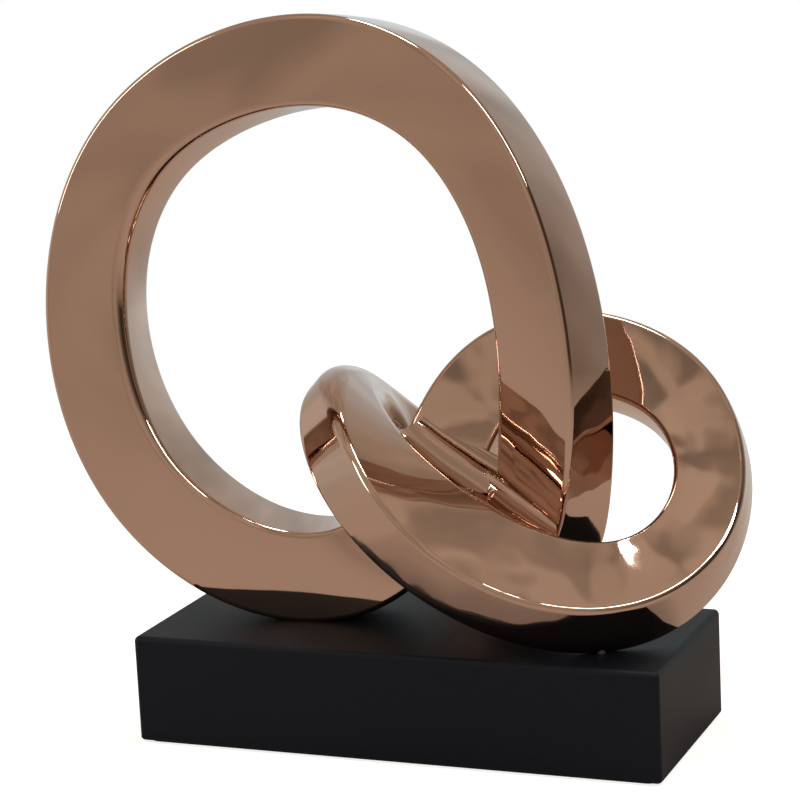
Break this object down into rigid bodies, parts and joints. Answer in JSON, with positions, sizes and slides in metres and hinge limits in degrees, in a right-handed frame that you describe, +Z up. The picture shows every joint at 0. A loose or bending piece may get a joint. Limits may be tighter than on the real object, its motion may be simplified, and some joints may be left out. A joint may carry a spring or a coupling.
{
  "type": "tabletop sculpture",
  "caption": "Polished rose-gold square band closed on itself as a knot, a big upright ring beside a small leaning loop, standing on a matt black rectangular plinth.",
  "frame": {"origin": "middle of the plinth's underside, on the surface that the sculpture stands on", "axes": "+Z up, +X along the plinth's long side towards the small loop, -Y towards the front of the sculpture"},
  "size_m": [0.3793, 0.1804, 0.3829],
  "materials": {
    "plinth_paint": "matt black paint on a solid block",
    "felt": "black felt",
    "knot_metal": "mirror polished, rose-gold plated",
    "sleeve_metal": "as cast",
    "boss_metal": "machined",
    "screw_steel": "zinc plated"
  },
  "bodies": {
    "root": {"plinth_block": "plinth_paint", "felt_sheet": "felt", "ring_crown": "knot_metal", "ring_left": "knot_metal", "ring_foot": "knot_metal", "crossing_strand": "knot_metal", "loop_top": "knot_metal", "loop_foot": "knot_metal", "front_band": "knot_metal", "fold": "knot_metal", "arm": "knot_metal", "sleeve_ring_crown_to_ring_left": "sleeve_metal", "sleeve_ring_left_to_ring_foot": "sleeve_metal", "sleeve_ring_foot_to_crossing_strand": "sleeve_metal", "sleeve_crossing_strand_to_loop_top": "sleeve_metal", "sleeve_loop_top_to_loop_foot": "sleeve_metal", "sleeve_loop_foot_to_front_band": "sleeve_metal", "sleeve_front_band_to_fold": "sleeve_metal", "sleeve_fold_to_arm": "sleeve_metal", "sleeve_arm_to_ring_crown": "sleeve_metal", "ring_foot_boss": "boss_metal", "loop_foot_boss": "boss_metal", "foot_screws": "screw_steel", "foot_washers": "screw_steel"}
  },
  "joints": []
}
